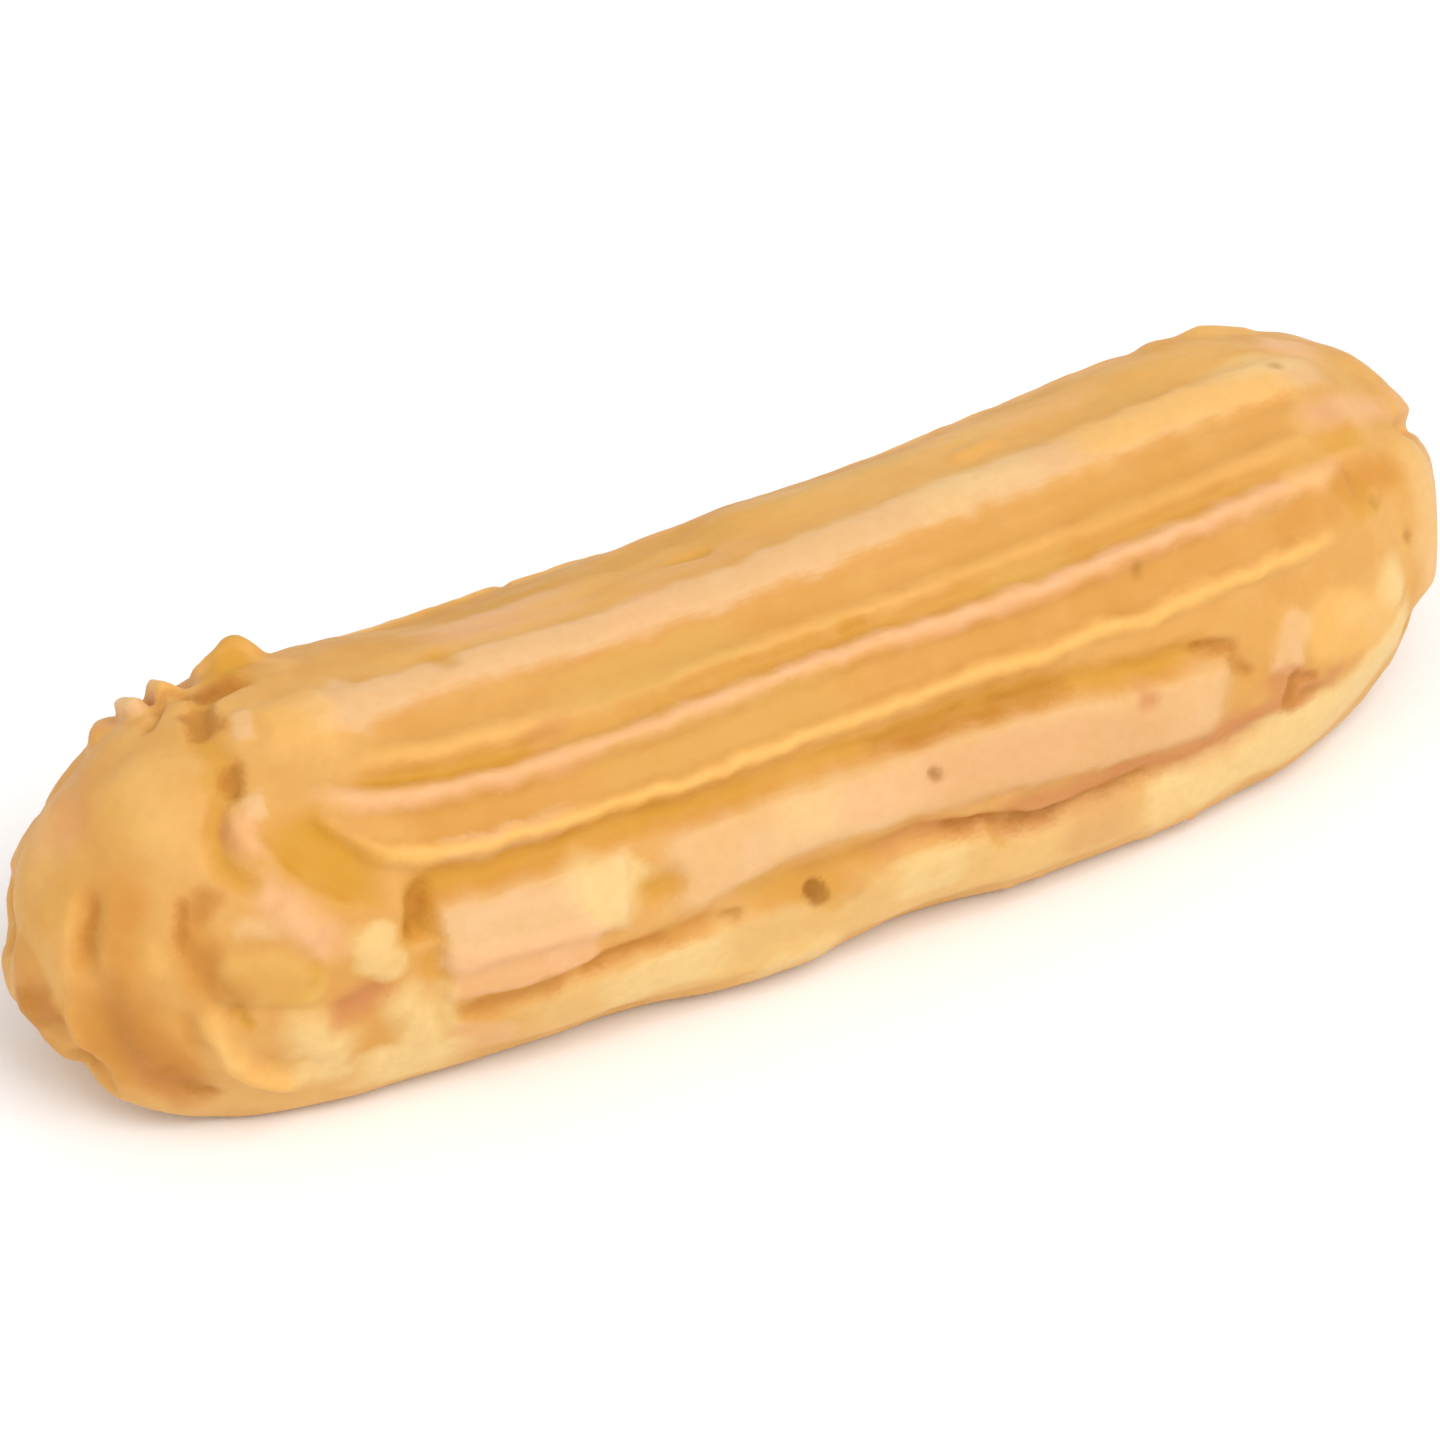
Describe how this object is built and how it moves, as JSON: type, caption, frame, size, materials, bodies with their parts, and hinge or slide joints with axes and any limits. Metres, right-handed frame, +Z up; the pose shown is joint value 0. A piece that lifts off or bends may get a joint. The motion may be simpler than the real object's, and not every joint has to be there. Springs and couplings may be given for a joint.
{
  "type": "eclair",
  "caption": "Plain golden eclair of baked choux, piped with lengthwise ridges, its tail folded back over the top, resting on a flat foot.",
  "frame": {"origin": "centre of the bounding box in plan, on the plane of the flat foot", "axes": "+X along the eclair towards its plain round nose, -X towards the folded tail, -Y towards the split side, +Z up"},
  "size_m": [0.1402, 0.0424, 0.0346],
  "materials": {
    "choux_crust": "baked choux crust, golden with paler pinkish ridges and ochre grooves, matte with a faint satin sheen"
  },
  "bodies": {
    "root": {"choux_shell": "choux_crust"}
  },
  "joints": []
}
